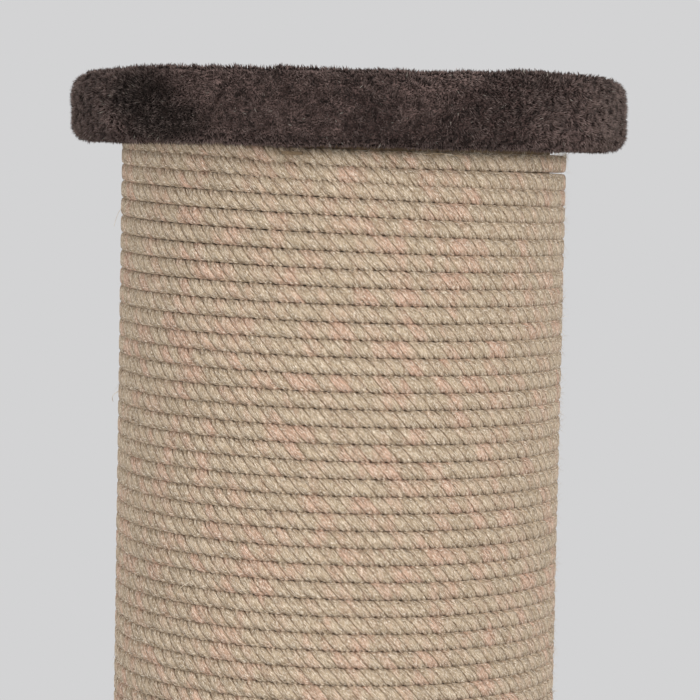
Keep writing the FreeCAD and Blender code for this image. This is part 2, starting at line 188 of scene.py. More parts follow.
def scattered(tree, value):
    """Points spread over the group's geometry, and the surface's normal at each."""
    spread = tree.nodes.new("GeometryNodeDistributePointsOnFaces")
    for label, name in (("Mesh", "Geometry"), ("Density", "Density"), ("Seed", "Seed")):
        connect(tree, value[name], spread.inputs[label])
    return Field(tree, spread.outputs["Points"]), Field(tree, spread.outputs["Normal"])


def spike(tree, value, segments):
    """A three-sided cone on Z, of the group's width and length."""
    sizes = {
        "Vertices": 3,
        "Side Segments": segments,
        "Fill Segments": 1,
        "Radius Top": 0.0,
        "Radius Bottom": value["Width"],
        "Depth": value["Length"],
    }
    return add_node(tree, "GeometryNodeMeshCone", sizes, fill_type="NGON")


def end_group(tree, out, geometry, material):
    """Makes the geometry real and smooth, gives it its material and puts it out."""
    real = add_node(tree, "GeometryNodeRealizeInstances", {"Geometry": geometry})
    smooth = {"Geometry": real, "Shade Smooth": True}
    smooth = add_node(tree, "GeometryNodeSetShadeSmooth", smooth)
    done = {"Geometry": smooth, "Material": material}
    done = add_node(tree, "GeometryNodeSetMaterial", done)
    connect(tree, done, out.inputs["Geometry"])


def made_by(tree, name, values, start_mesh=None):
    """Runs a geometry tree on an object of its own and keeps the result as a plain mesh."""
    mesh = start_mesh or bpy.data.meshes.new(name + "_start")
    maker = bpy.data.objects.new(name + "_maker", mesh)
    bpy.context.scene.collection.objects.link(maker)
    modifier = maker.modifiers.new(name, "NODES")
    modifier.node_group = tree
    for item in tree.interface.items_tree:
        if item.item_type == "SOCKET" and item.in_out == "INPUT" and item.name in values:
            modifier[item.identifier] = values[item.name]
    bpy.context.view_layer.update()
    evaluated = maker.evaluated_get(bpy.context.evaluated_depsgraph_get())
    plain = bpy.data.meshes.new_from_object(evaluated)
    plain.name = name
    bpy.data.objects.remove(maker)
    return add_piece(name, plain)


def add_piece(name, mesh, material=None):
    """Puts a finished mesh into the scene, on the only body."""
    piece = bpy.data.objects.new(name, mesh)
    bpy.context.scene.collection.objects.link(piece)
    if material:
        mesh.materials.clear()
        mesh.materials.append(material)
    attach(piece, "root")
    return piece


# Materials ------------------------------------------------------------------------------------


def grey(level):
    return (level, level, level, 1.0)


def linear(red, green, blue):
    """A screen colour of 0 to 255 as Blender's linear one."""
    return tuple(((c / 255 + 0.055) / 1.055) ** 2.4 for c in (red, green, blue)) + (1.0,)


def noise_field(tree, where, scale, detail=2.0, roughness=0.5):
    values = {"Vector": where, "Scale": scale, "Detail": detail, "Roughness": roughness}
    return add_node(tree, "ShaderNodeTexNoise", values)


def mix_colour(tree, factor, first, second):
    """The first colour at 0 and the second at 1."""
    node = tree.nodes.new("ShaderNodeMix")
    node.data_type = "RGBA"
    for number, value in ((0, factor), (6, first), (7, second)):
        connect(tree, value, node.inputs[number])
    return Field(tree, node.outputs[2])


def stretched(tree, where, x, y, z):
    """Coordinates multiplied along each axis."""
    return add_node(tree, "ShaderNodeMapping", {"Vector": where, "Scale": (x, y, z)})


def attribute(tree, name, output="Vector"):
    return add_node(tree, "ShaderNodeAttribute", output=output, attribute_name=name)


def object_place(tree):
    return add_node(tree, "ShaderNodeTexCoord", output="Object")


def new_material(name, shader_values):
    """A material, its tree and its shader, with plain values set on the shader."""
    material = bpy.data.materials.new(name)
    material.use_nodes = True
    tree = material.node_tree
    shader = tree.nodes["Principled BSDF"]
    for label, value in shader_values.items():
        shader.inputs[label].default_value = value
    return material, tree, shader


def raise_bump(tree, shader, height, distance, strength=1.0):
    bump = add_node(
        tree, "ShaderNodeBump", {"Height": height, "Distance": distance, "Strength": strength}
    )
    connect(tree, bump, shader.inputs["Normal"])


def sisal_material():
    """Natural rope: beige fibres laid along each strand, painted shade in the grooves, pinkish in
    places.
    """
    material, tree, shader = new_material(
        "sisal",
        {
            "Roughness": 0.85,
            "Specular IOR Level": 0.12,
            "Sheen Weight": 0.1,
            "Sheen Roughness": 0.6,
        },
    )
    fibre = attribute(tree, "fibre")
    strand = attribute(tree, "strand")
    hollow = attribute(tree, "hollow", "Fac")
    yarn = noise_field(tree, stretched(tree, fibre, 1.6, 1.6, 0.16), 1.0, 1.0, 0.5)
    fine = noise_field(tree, stretched(tree, fibre, 4.2, 4.2, 0.62), 1.0, 1.0, 0.6)
    hair = noise_field(tree, stretched(tree, fibre, 7.5, 7.5, 1.5), 1.0, 1.0, 0.6)
    patch = noise_field(tree, stretched(tree, strand, 0.075, 0.25, 0.0), 1.0, 2.0, 0.65)
    tone = noise_field(tree, stretched(tree, strand, 0.21, 5.3, 1.0), 1.0, 2.0, 0.5)
    patchy = noise_field(tree, stretched(tree, strand, 0.8, 3.1, 1.0), 1.0, 3.0, 0.7)
    tone = tone.between(0.3, 0.7)
    plain = mix_colour(tree, tone, linear(206, 185, 158), linear(190, 170, 143))
    pinkish = mix_colour(tree, patch.between(0.46, 0.66) * 0.85, plain, linear(214, 173, 150))
    shade = yarn.between(0.25, 0.6) * 0.3 + fine.between(0.3, 0.62) * 0.45
    shade = shade + hair.between(0.3, 0.6) * 0.25
    darker = mix_colour(tree, shade, linear(100, 78, 56), pinkish)
    # pale fibre streaks, brightened nearly to white as painted highlights
    light = mix_colour(tree, hair.between(0.53, 0.70) * 0.9, darker, linear(250, 238, 220))
    # painted shade: the grooves and the gaps between turns darkened towards brown, in uneven
    # patches
    depth = hollow.between(0.25, 0.9) * patchy.between(0.3, 0.6)
    dark = mix_colour(tree, depth * 0.85, light, linear(92, 70, 48))
    connect(tree, dark, shader.inputs["Base Color"])
    raise_bump(tree, shader, yarn * 0.5 + fine * 0.35 + hair * 0.15, 0.0005, 0.9)
    return material


def near(tree, place, centre, reach):
    """1 at a centre, falling to 0 at its reach along each axis, both in metres."""
    offset = vector_math(tree, "SUBTRACT", place, centre)
    scaled = vector_math(tree, "DIVIDE", offset, reach)
    return vector_math(tree, "LENGTH", scaled, output=1).between(1.0, 0.35)


# Where the cap's pile lies flat and dark: centre and reach along each axis, in metres
DARK_PATCHES = (
    ((-0.071, -0.070, CAP_TOP * MM - 0.011), (0.022, 0.035, 0.013)),
    ((-0.062, -0.078, CAP_TOP * MM - 0.019), (0.026, 0.030, 0.010)),
)


def plush_material(name, tips):
    """Dark taupe pile. Patches of the pile lie another way and look darker or lighter."""
    material, tree, shader = new_material(
        name,
        {
            "Roughness": 0.9,
            "Specular IOR Level": 0.08,
            "Sheen Weight": 0.22,
            "Sheen Roughness": 0.4,
            "Sheen Tint": linear(200, 184, 176),
        },
    )
    place = object_place(tree)
    nap = noise_field(tree, place, 30.0, 2.0, 0.55)
    clumps = noise_field(tree, place, 420.0, 2.0, 0.65)
    specks = noise_field(tree, place, 1500.0, 1.0, 0.5)
    base = mix_colour(tree, nap.between(0.36, 0.64), linear(96, 78, 74), linear(140, 117, 111))
    dark = 0.0
    for centre, reach in DARK_PATCHES:
        dark = near(tree, place, centre, reach).math("MAXIMUM", dark)
    base = mix_colour(tree, dark * 0.8, base, linear(22, 22, 18))
    # painted sheen: the pile lighter where x is 80 to 97 mm either side, at the cap's sides
    ends = split(tree, place, "X").math("ABSOLUTE")
    limb_sheen = ends.between(0.080, 0.097) * nap.between(0.3, 0.6)
    base = mix_colour(tree, limb_sheen * 0.5, base, linear(134, 118, 109))
    if tips:
        along = attribute(tree, "tip", "Fac")
        chance = attribute(tree, "chance", "Fac")
        # painted shade: each tuft darkens towards its root
        root_shaded = mix_colour(tree, along.between(0.65, 0.0), base, linear(26, 20, 19))
        # painted highlights: some tuft tips paler
        paler = along.between(0.4, 1.0) * chance.between(0.3, 1.0) * 0.8
        tipped = mix_colour(tree, paler, root_shaded, linear(206, 184, 176))
        # painted shade between clumps of pile, and painted highlights on some clumps
        clump_shaded = mix_colour(tree, clumps.between(0.54, 0.38) * 0.85, tipped, linear(26, 19, 18))
        clump_shaded = mix_colour(tree, clumps.between(0.56, 0.7) * 0.35, clump_shaded, linear(190, 168, 160))
        done = mix_colour(tree, chance.between(0.9955, 0.9965), clump_shaded, linear(190, 184, 172))
    else:
        # painted shade: dark specks for the gaps between tufts
        done = mix_colour(tree, specks.between(0.4, 0.62) * 0.5, base, linear(26, 20, 19))
    connect(tree, done, shader.inputs["Base Color"])
    raise_bump(tree, shader, clumps * 0.6 + specks * 0.4, 0.002, 1.0)
    return material


def particle_board_material():
    """Pressed chips on the faces and edges of the boards."""
    material, tree, shader = new_material("particle_board", {"Roughness": 0.75})
    place = object_place(tree)
    cells = {"Vector": place, "Scale": 420.0}
    chips = add_node(tree, "ShaderNodeTexVoronoi", cells, "Color")
    size = add_node(tree, "ShaderNodeTexVoronoi", cells)
    dust = noise_field(tree, place, 1400.0, 2.0)
    tone = noise_field(tree, place, 30.0, 3.0)
    red = add_node(tree, "ShaderNodeSeparateColor", {"Color": chips})
    chip = mix_colour(tree, red, linear(178, 142, 98), linear(214, 182, 136))
    patchy = mix_colour(tree, tone * 0.4, chip, linear(160, 126, 86))
    dusty = mix_colour(tree, dust.between(0.4, 0.7) * 0.4, patchy, linear(120, 90, 58))
    connect(tree, dusty, shader.inputs["Base Color"])
    raise_bump(tree, shader, size + dust * 0.3, 0.0004, 0.4)
    return material


def cardboard_material():
    """Spiral-wound grey-brown board."""
    material, tree, shader = new_material("cardboard", {"Roughness": 0.85})
    place = object_place(tree)
    fibres = noise_field(tree, stretched(tree, place, 900.0, 900.0, 220.0), 1.0, 3.0)
    tone = noise_field(tree, place, 22.0, 3.0)
    base = mix_colour(tree, tone, linear(150, 126, 98), linear(172, 148, 118))
    fibrous = mix_colour(tree, fibres.between(0.4, 0.7) * 0.4, base, linear(120, 98, 72))
    connect(tree, fibrous, shader.inputs["Base Color"])
    raise_bump(tree, shader, fibres, 0.0002, 0.4)
    return material


def steel_material(name, darkest, lightest):
    """Zinc plate, a little cloudy. The darker, browner one is painted shade on the rope staples,
    under the fibres over their crowns.
    """
    material, tree, shader = new_material(name, {"Metallic": 1.0})
    place = object_place(tree)
    cloud = noise_field(tree, place, 240.0, 3.0)
    scratch = noise_field(tree, stretched(tree, place, 1.0, 1.0, 9.0), 700.0, 2.0)
    connect(tree, mix_colour(tree, cloud, darkest, lightest), shader.inputs["Base Color"])
    connect(tree, cloud * 0.2 + scratch * 0.15 + 0.15, shader.inputs["Roughness"])
    raise_bump(tree, shader, scratch, 0.00005, 0.3)
    return material


def rubber_material():
    """Matt black pads, dusty."""
    material, tree, shader = new_material("rubber", {"Roughness": 0.8})
    place = object_place(tree)
    grain = noise_field(tree, place, 1600.0, 2.0)
    dust = noise_field(tree, place, 60.0, 4.0)
    dust = dust.between(0.45, 0.8) * 0.5
    dusty = mix_colour(tree, dust, linear(34, 34, 35), linear(86, 84, 80))
    connect(tree, dusty, shader.inputs["Base Color"])
    raise_bump(tree, shader, grain, 0.0002, 0.4)
    return material


sisal = sisal_material()
plush = plush_material("plush", tips=False)
plush_tips = plush_material("plush_tips", tips=True)
FINISHES = {
    "particle_board": (
        particle_board_material(),
        ("base_board", "bottom_plug", "top_plug", "cap_board"),
    ),
    "cardboard": (cardboard_material(), ("post_tube",)),
    "zinc_steel": (
        steel_material("zinc_steel", linear(190, 190, 186), linear(214, 213, 208)),
        (
            "base_bolt",
            "base_washer",
            "cap_stud",
            "threaded_inserts",
            "base_cover_staples",
            "cap_cover_staples",
            "plug_staples",
        ),
    ),
    # the rope staples, darkened and browned as painted shade
    "shade_darkened_steel": (
        steel_material("shade_darkened_steel", linear(96, 80, 62), linear(132, 114, 92)),
        ("rope_staples",),
    ),
    "rubber": (rubber_material(), ("base_feet",)),
}
for finish, node_names in FINISHES.values():
    for node_name in node_names:
        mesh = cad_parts[node_name].data
        mesh.materials.clear()
        mesh.materials.append(finish)


# Rope -----------------------------------------------------------------------------------------

PRESSED_BESIDE = 0.6  # how much of a strand's hollow is filled where turns touch
UNEVEN_THICKNESS = 0.10  # share of the rope's radius
STAPLE_PINCH = 0.22  # the same, at a staple's leg
PINCH_TURNS = 0.006  # how far along the rope a leg presses it
ASLANT_MM = 2.8  # how much higher the upper turns lie on the left
ASLANT_TURNS = 11.0  # the turn at which they lie level again
# Turns at which the legs of the front staple press into the rope
STAPLE_LEGS = (0.2515, 0.2647)
# How far the first turns stand above or below their even pitch, as (turn, mm)
TOP_TURN_RANGE = 3.0
LIFT_SPAN = 10.0  # mm from the bottom to the top of the curve that holds these
TOP_TURN_LIFT = (
    (0.0, 0.3),
    (0.17, 0.5),
    (0.215, 0.3),
    (0.245, -1.0),
    (0.3, -1.0),
    (0.345, -0.6),
    (0.42, -0.1),
    (0.47, 0.25),
    (0.6, 0.4),
    (0.8, 0.2),
    (1.08, 0.0),
    (1.19, 0.0),
    (1.27, -0.9),
    (1.36, -0.5),
    (1.45, -0.15),
    (1.8, 0.0),
    (3.0, 0.0),
)


def rope_tree():
    """A three-strand rope wound round Z: a closed tube with three lobes that turn along it."""
    tree, value, out = new_group(
        "wound_rope",
        "GeometryNodeTree",
        {
            "First Turn": (FLOAT, 0.0),
            "Last Turn": (FLOAT, 1.0),
            "Rings": (INTEGER, 200),
            "Sides": (INTEGER, 24),
            "Winding Radius": (FLOAT, (TUBE_RADIUS + ROPE_RADIUS) * MM),
            "Pitch": (FLOAT, PITCH * MM),
            "Start Angle": (FLOAT, START_ANGLE),
            "Start Height": (FLOAT, START_HEIGHT * MM),
            "Rope Radius": (FLOAT, ROPE_RADIUS * MM),
            "Lay Length": (FLOAT, LAY_LENGTH * MM),
            "Strand Centre": (FLOAT, 0.31),
            "Fullness": (FLOAT, 5.0),
            "Wander": (FLOAT, 0.16 * MM),
            "Material": (MATERIAL, None),
        },
        {"Geometry": GEOMETRY},
    )
    rings, sides = value["Rings"], value["Sides"]
    size = {"Size X": 1.0, "Size Y": 1.0, "Vertices X": rings + 1, "Vertices Y": sides + 1}
    grid = add_node(tree, "GeometryNodeMeshGrid", size)
    place = add_node(tree, "GeometryNodeInputPosition")
    u, v = split(tree, place, "X") + 0.5, split(tree, place, "Y") + 0.5

    # the first and last ring close the tube's ends
    ring = u * rings
    along = ((ring - 1) / (rings - 2)).math("MAXIMUM", 0.0).math("MINIMUM", 1.0)
    open_ring = ring.math("GREATER_THAN", 0.5) * ring.math("LESS_THAN", rings - 0.5)
    turns = value["First Turn"] + (value["Last Turn"] - value["First Turn"]) * along
    length = turns * (value["Winding Radius"] * TURN)

    # three lobes, the section pressed towards a rounded square
    lay_angle = length / value["Lay Length"] * TURN
    lobe = ((v * 3).math("FRACT") - 0.5) * (TURN / 3)
    centre = value["Strand Centre"]
    strand = 1 - centre
    reach = centre * lobe.cos()
    reach = reach + (strand * strand - centre * centre * lobe.sin() * lobe.sin()).math("SQRT")
    section_angle = v * TURN - lay_angle
    beside = section_angle.sin() * section_angle.sin()
    reach = reach + (1 - reach) * beside * PRESSED_BESIDE
    fullness = value["Fullness"]
    square = section_angle.cos().math("ABSOLUTE").math("POWER", fullness)
    square = square + section_angle.sin().math("ABSOLUTE").math("POWER", fullness)
    fuller = square.math("POWER", fullness.flipped("DIVIDE", -1.0))

    # slow unevenness along the rope
    def wander(scale, offset):
        where = xyz(tree, turns * scale, offset, 0.0)
        return noise_field(tree, where, 1.0, 2.0, 0.6) - 0.5

    thickness = 1 + wander(9.0, 1.7) * UNEVEN_THICKNESS
    for leg in STAPLE_LEGS:
        pressed = (turns - leg).math("ABSOLUTE").between(PINCH_TURNS, 0.0)
        thickness = thickness - pressed * STAPLE_PINCH
    radius = value["Rope Radius"] * reach * fuller * thickness * open_ring
    out_of_post = radius * section_angle.cos() + wander(5.0, 4.2) * value["Wander"] * 1.5
    upward = radius * section_angle.sin() * 1.05 + wander(4.0, 7.9) * value["Wander"] * 2.0
    upward = upward + wander(70.0, 3.3) * value["Wander"] * 1.5

    # the first turns rise and dip under the cap, and are lowest just past their staple
    lift = tree.nodes.new("ShaderNodeFloatCurve")
    points = lift.mapping.curves[0].points
    for turn, mm in TOP_TURN_LIFT[1:-1]:
        points.new(turn / TOP_TURN_RANGE, 0.5 + mm / LIFT_SPAN)
    points[0].location = (0.0, 0.5 + TOP_TURN_LIFT[0][1] / LIFT_SPAN)
    points[len(points) - 1].location = (1.0, 0.5)
    lift.mapping.update()
    connect(tree, (turns / TOP_TURN_RANGE).math("MINIMUM", 1.0), lift.inputs["Value"])
    lifted = (Field(tree, lift.outputs[0]) - 0.5) * (LIFT_SPAN * MM)

    # the upper turns lie a little aslant, higher on the left
    aslant = ((turns - 0.02) * TURN).cos() * 0.7 + 0.33
    aslant = aslant * turns.between(ASLANT_TURNS, 1.0) * (turns.between(0.1, 1.0) * 0.5 + 0.5)
    lifted = lifted + aslant * (ASLANT_MM * MM)

    angle = value["Start Angle"] + turns * TURN
    from_axis = value["Winding Radius"] + out_of_post
    height = value["Start Height"] - value["Pitch"] * turns + upward + lifted
    position = xyz(tree, from_axis * angle.sin(), from_axis * angle.cos() * -1, height)

    # what the material reads, kept on the grid before it is wound up
    twist = v * TURN - length / MM * 0.06
    fibre = xyz(tree, twist.cos() * 2.0, twist.sin() * 2.0, length / MM)
    kept = store(tree, grid, "fibre", fibre, "FLOAT_VECTOR")
    strand_number = (v * 3).math("FLOOR")
    strand_place = xyz(tree, length / MM, strand_number, strand_number * 7)
    kept = store(tree, kept, "strand", strand_place, "FLOAT_VECTOR")
    # the grooves and where turns touch, which the material darkens as painted shade
    groove = lobe.math("ABSOLUTE") * (3 / math.pi)
    hollow = groove.math("POWER", 12.0).math("MAXIMUM", beside.math("POWER", 9.0) * 0.75)
    kept = store(tree, kept, "hollow", hollow)
    placed = add_node(tree, "GeometryNodeSetPosition", {"Geometry": kept, "Position": position})
    merged = {"Geometry": placed, "Distance": 1e-6}
    merged = add_node(tree, "GeometryNodeMergeByDistance", merged)
    end_group(tree, out, merged, value["Material"])
    return tree


ROPE_RUNS = (
    # first turn, last turn, rings in a turn, sides
    (0.0, 11.0, 272, 27),
    (11.0, 22.0, 272, 24),
    (22.0, 33.0, 272, 24),
    (33.0, 55.0, 190, 15),
    (55.0, 77.0, 190, 15),
    (77.0, TURNS, 190, 15),
)

rope = rope_tree()
for number, (first_turn, last_turn, per_turn, sides) in enumerate(ROPE_RUNS, start=1):
    piece = made_by(
        rope,
        f"rope_{number}",
        {
            "First Turn": float(first_turn),
            "Last Turn": float(last_turn),
            "Rings": int((last_turn - first_turn) * per_turn),
            "Sides": sides,
            "Material": sisal,
        },
    )
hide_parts("sisal_rope")


FIBRE_BEND = 0.45  # how far a loose fibre's tip bends aside, as a share of its length


def fuzz_tree():
    """Loose fibres that lift off a rope's surface, each a bent three-sided spike."""
    tree, value, out = new_group(
        "rope_fuzz",
        "GeometryNodeTree",
        {
            "Geometry": (GEOMETRY, None),
            "Density": (FLOAT, 1e5),
            "Length": (FLOAT, 4.0 * MM),
            "Width": (FLOAT, 0.06 * MM),
            "Lift": (FLOAT, 0.35),
            "Seed": (INTEGER, 1),
            "Material": (MATERIAL, None),
        },
        {"Geometry": GEOMETRY},
    )
    points, normal = scattered(tree, value)

    def chance(low, high, number):
        return random_value(tree, low, high, value["Seed"] * 10 + number)

    # a fibre lies along the rope's surface in any direction and lifts a little
    any_way = xyz(tree, chance(-1.0, 1.0, 1), chance(-1.0, 1.0, 2), chance(-1.0, 1.0, 3))
    along = vector_math(tree, "NORMALIZE", vector_math(tree, "CROSS_PRODUCT", any_way, normal))
    lift = {0: normal, "Scale": value["Lift"]}
    lifted = add_node(tree, "ShaderNodeVectorMath", lift, operation="SCALE")
    direction = vector_math(tree, "ADD", along, lifted)
    turn = add_node(tree, "FunctionNodeAlignRotationToVector", {"Vector": direction}, axis="Z")
    line = spike(tree, value, segments=2)
    height = split(tree, add_node(tree, "GeometryNodeInputPosition"), "Z") / value["Length"]
    bend = xyz(tree, height * height * value["Length"] * FIBRE_BEND, 0.0, 0.0)
    bent = add_node(tree, "GeometryNodeSetPosition", {"Geometry": line, "Offset": bend})
    fibres = add_node(
        tree,
        "GeometryNodeInstanceOnPoints",
        {"Points": points, "Instance": bent, "Rotation": turn, "Scale": chance(0.4, 1.3, 4)},
    )
    end_group(tree, out, fibres, value["Material"])
    return tree


def fibre_material():
    """Single pale fibres, some browner than others."""
    looks = {"Roughness": 0.7, "Specular IOR Level": 0.2}
    material, tree, shader = new_material("sisal_fibre", looks)
    tone = noise_field(tree, object_place(tree), 300.0, 1.0)
    paler = tone.between(0.35, 0.65)
    colour = mix_colour(tree, paler, linear(190, 164, 130), linear(242, 230, 208))
    connect(tree, colour, shader.inputs["Base Color"])
    raise_bump(tree, shader, tone, 0.0001, 0.2)
    return material


fuzz = fuzz_tree()
loose_fibre = fibre_material()


def on_post(degrees, radius, height):
    """A place round the post, in millimetres, counted in degrees from the front towards +X."""
    angle = math.radians(degrees)
    return Vector((radius * math.sin(angle), -radius * math.cos(angle), height)) * MM


def shell(name, radius, degrees, heights, step=4.0):
    """An open patch of a band round the post, facing outwards, on which fibres start."""
    mesh = bpy.data.meshes.new(name)
    bm = bmesh.new()
    first, last = degrees
    count = max(2, round((last - first) / step))
    columns = [
        [bm.verts.new(on_post(first + (last - first) * i / count, radius, z)) for z in heights]
        for i in range(count + 1)
    ]
    for here, there in zip(columns, columns[1:]):
        bm.faces.new((here[0], there[0], there[1], here[1]))
    bm.to_mesh(mesh)
    bm.free()
    return mesh


# Where fibres start: just under the rope's surface, or over the staple's crown
IN_ROPE = POST_RADIUS - 0.35
OVER_STAPLE = POST_RADIUS + 0.4
ALL_ROUND = (0, 360)
FUZZY_HEIGHT = CAP_UNDERSIDE - 215  # above this, the rope carries more and finer fibres
ROPE_END = math.degrees(START_ANGLE) + TURNS * 360
# name, radius, degrees, heights, fibres per square mm, length and half width in mm, lift
FUZZ_PATCHES = (
    (
        "rope_fuzz_upper",
        (IN_ROPE, ALL_ROUND, (FUZZY_HEIGHT, CAP_UNDERSIDE - 1)),
        (0.085, 4.2, 0.055, 0.16),
    ),
    (
        "rope_fuzz_lower",
        (IN_ROPE, ALL_ROUND, (BASE_TOP + 2, FUZZY_HEIGHT)),
        (0.02, 5.0, 0.08, 0.2),
    ),
    (
        "staple_fuzz",
        (OVER_STAPLE, (-17.0, -8.5), (CAP_UNDERSIDE - 4.5, CAP_UNDERSIDE + 0.5)),
        (2.2, 3.4, 0.045, 0.2),
    ),
    (
        "cap_edge_fuzz",
        (IN_ROPE, (-5.0, 85.0), (CAP_UNDERSIDE - 2.2, CAP_UNDERSIDE + 0.3)),
        (3.0, 2.8, 0.05, 0.1),
    ),
    (
        "rope_end_fuzz",
        (IN_ROPE, (ROPE_END - 3, ROPE_END + 1.5), (BASE_TOP + 1, BASE_TOP + 6)),
        (4.0, 5.0, 0.06, 0.3),
    ),
)
for number, (name, patch, fibres) in enumerate(FUZZ_PATCHES, start=1):
    per_square_mm, length, width, lift = fibres
    piece = made_by(
        fuzz,
        name,
        {
            "Density": per_square_mm / MM**2,
            "Length": length * MM,
            "Width": width * MM,
            "Lift": lift,
            "Seed": number,
            "Material": loose_fibre,
        },
        shell(name + "_ground", *patch),
    )

# Single fibres that stand off the rope: half width, and each bend's degrees, radius and height
LONG_FIBRES = (
    (0.11, (52.5, 81.0, 497.0), (54.5, 83.0, 495.0), (57.0, 83.6, 491.0), (61.0, 82.2, 487.0)),
    (0.09, (-86.0, 80.8, 531.5), (-87.5, 82.4, 530.5), (-89.0, 83.6, 528.6), (-91.0, 83.2, 527.0)),
    (0.10, (19.5, 81.2, 620.4), (22.0, 82.6, 620.9), (26.0, 83.0, 620.6), (29.5, 81.4, 620.0)),
    (0.07, (-71.0, 81.0, 601.0), (-73.0, 82.8, 599.0), (-77.0, 83.4, 596.0), (-80.0, 83.8, 592.0)),
    (0.07, (33.0, 81.0, 560.0), (35.0, 82.4, 558.5), (37.5, 82.6, 555.0), (39.0, 81.4, 551.0)),
    (0.07, (-38.0, 81.0, 471.0), (-40.5, 82.6, 469.0), (-42.0, 82.8, 465.0), (-45.0, 81.2, 463.0)),
    (0.09, (142.0, 81.0, 420.0), (145.0, 83.0, 417.0), (149.0, 83.6, 414.5), (152.0, 82.0, 409.0)),
    (0.09, (210.0, 81.0, 250.0), (213.0, 83.2, 252.0), (217.0, 83.6, 251.0), (220.0, 82.0, 246.0)),
)
for number, (half_width, *bends) in enumerate(LONG_FIBRES, start=1):
    curve = bpy.data.curves.new(f"long_fibre_{number}", "CURVE")
    curve.dimensions = "3D"
    curve.bevel_depth = half_width * MM
    curve.bevel_resolution = 1
    curve.use_fill_caps = True
    spline = curve.splines.new("NURBS")
    spline.points.add(len(bends) - 1)
    for point, bend in zip(spline.points, bends):
        point.co = (*on_post(*bend), 1.0)
    spline.order_u = 3
    spline.use_endpoint_u = True
    drawn = bpy.data.objects.new(curve.name + "_maker", curve)
    fibre_mesh = bpy.data.meshes.new_from_object(drawn)
    bpy.data.objects.remove(drawn)
    fibre_mesh.name = curve.name
    add_piece(curve.name, fibre_mesh, loose_fibre)


# Plush covers ---------------------------------------------------------------------------------


def lathe(name, outline, around, shaped):
    """A closed mesh turned about Z from an outline of (radius, height), pressed into its soft form.

    Radii, heights and the shift that shaped gives for a place and its normal are in millimetres.
    """
    mesh = bpy.data.meshes.new(name)
    bm = bmesh.new()
    columns = []
    for i in range(around):
        angle = TURN * i / around
        columns.append(
            [bm.verts.new((r * math.sin(angle), -r * math.cos(angle), z)) for r, z in outline]
        )
    count = len(outline)
    for i in range(around):
        here, there = columns[i], columns[(i + 1) % around]
        for j in range(count):
            k = (j + 1) % count
            bm.faces.new((here[j], there[j], there[k], here[k]))
    bmesh.ops.remove_doubles(bm, verts=bm.verts, dist=1e-4)
    bmesh.ops.recalc_face_normals(bm, faces=bm.faces)
    bm.normal_update()
    shifts = [shaped(vert.co, vert.normal) for vert in bm.verts]
    for vert, shift in zip(bm.verts, shifts):
        vert.co = (vert.co + shift) * MM
    for face in bm.faces:
        face.smooth = True
    bm.to_mesh(mesh)
    bm.free()
    return mesh


def rounded(corners, corner_steps=7):
    """An outline with its corners rounded and its runs divided.

    Each corner is (radius, height, rounding, step of the run after it).
    """
    path = []
    for i, (r, z, rounding, step) in enumerate(corners):
        before, here, after = (Vector(corners[j % len(corners)][:2]) for j in (i - 1, i, i + 1))
        if rounding <= 0:
            path.append((here, step))
            continue
        start = here + (before - here).normalized() * rounding
        end = here + (after - here).normalized() * rounding
        for k in range(corner_steps + 1):
            f = k / corner_steps
            path.append((start * (1 - f) ** 2 + here * 2 * f * (1 - f) + end * f**2, step))
    divided = []
    for i, (here, step) in enumerate(path):
        after = path[(i + 1) % len(path)][0]
        pieces = max(1, round((after - here).length / step))
        divided += [here.lerp(after, k / pieces) for k in range(pieces)]
    return [(p.x, p.y) for p in divided]


def smooth_step(low, high, value):
    f = min(1.0, max(0.0, (value - low) / (high - low)))
    return f * f * (3 - 2 * f)


def uneven(place, size, seed):
    """Smooth noise from -1 to 1 whose lumps are about the given size in millimetres."""
    return noise.noise(place / size + Vector((seed * 17.3, seed * 5.1, seed * 9.7)))


def from_axis(point):
    return math.hypot(point.x, point.y)


cap_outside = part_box("cap_cover")[1].x / MM
cap_board_low, cap_board_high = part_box("cap_board")
cap_board_radius = cap_board_high.x / MM
base_low, base_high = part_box("base_cover")
base_outside, base_underside = base_high.x / MM, base_low.z / MM
base_board_low, base_board_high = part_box("base_board")
base_board_radius = base_board_high.x / MM
POST_RECESS = POST_RADIUS + 0.5

# All in millimetres
PILE = 1.6  # room that the pile takes outside the backing
PILE_BELOW = 2.7  # the same, below the cap
PILE_UNDER_BASE = 0.8
PRESSED = 1.5  # plush under the post's lower rim
BOARD_FIT = 0.2  # round a board's edge, inside its cover
BOLT_HOLE_RADIUS = 6.25
CAP_FOLD_EDGE = 54.0  # where the turned-under plush ends
BASE_FOLD_EDGE = 162.0
PLEATS_START = 190.0  # the pleats under the base grow inwards from here
PLEATS = 44
cap_profile = rounded(
    [
        (CAP_FOLD_EDGE, cap_board_low.z / MM, 0, 4.0),
        (CAP_FOLD_EDGE, TUBE_TOP, 0, 9.0),
        (POST_RECESS, TUBE_TOP, 0, 2.0),
        (POST_RECESS, CAP_UNDERSIDE + PILE_BELOW, 1.0, 1.5),
        (cap_outside - PILE, CAP_UNDERSIDE + PILE_BELOW, 6.0, 1.2),
        (cap_outside - PILE, CAP_TOP - PILE, 7.5, 1.2),
        (84.0, CAP_TOP - PILE, 0, 3.0),
        (60.0, CAP_TOP - PILE, 0, 6.0),
        (0.0, CAP_TOP - PILE, 0, 9.0),
        (0.0, cap_board_high.z / MM, 0, 24.0),
        (cap_board_radius + BOARD_FIT, cap_board_high.z / MM, 0, 9.0),
        (cap_board_radius + BOARD_FIT, cap_board_low.z / MM, 0, 14.0),
    ]
)
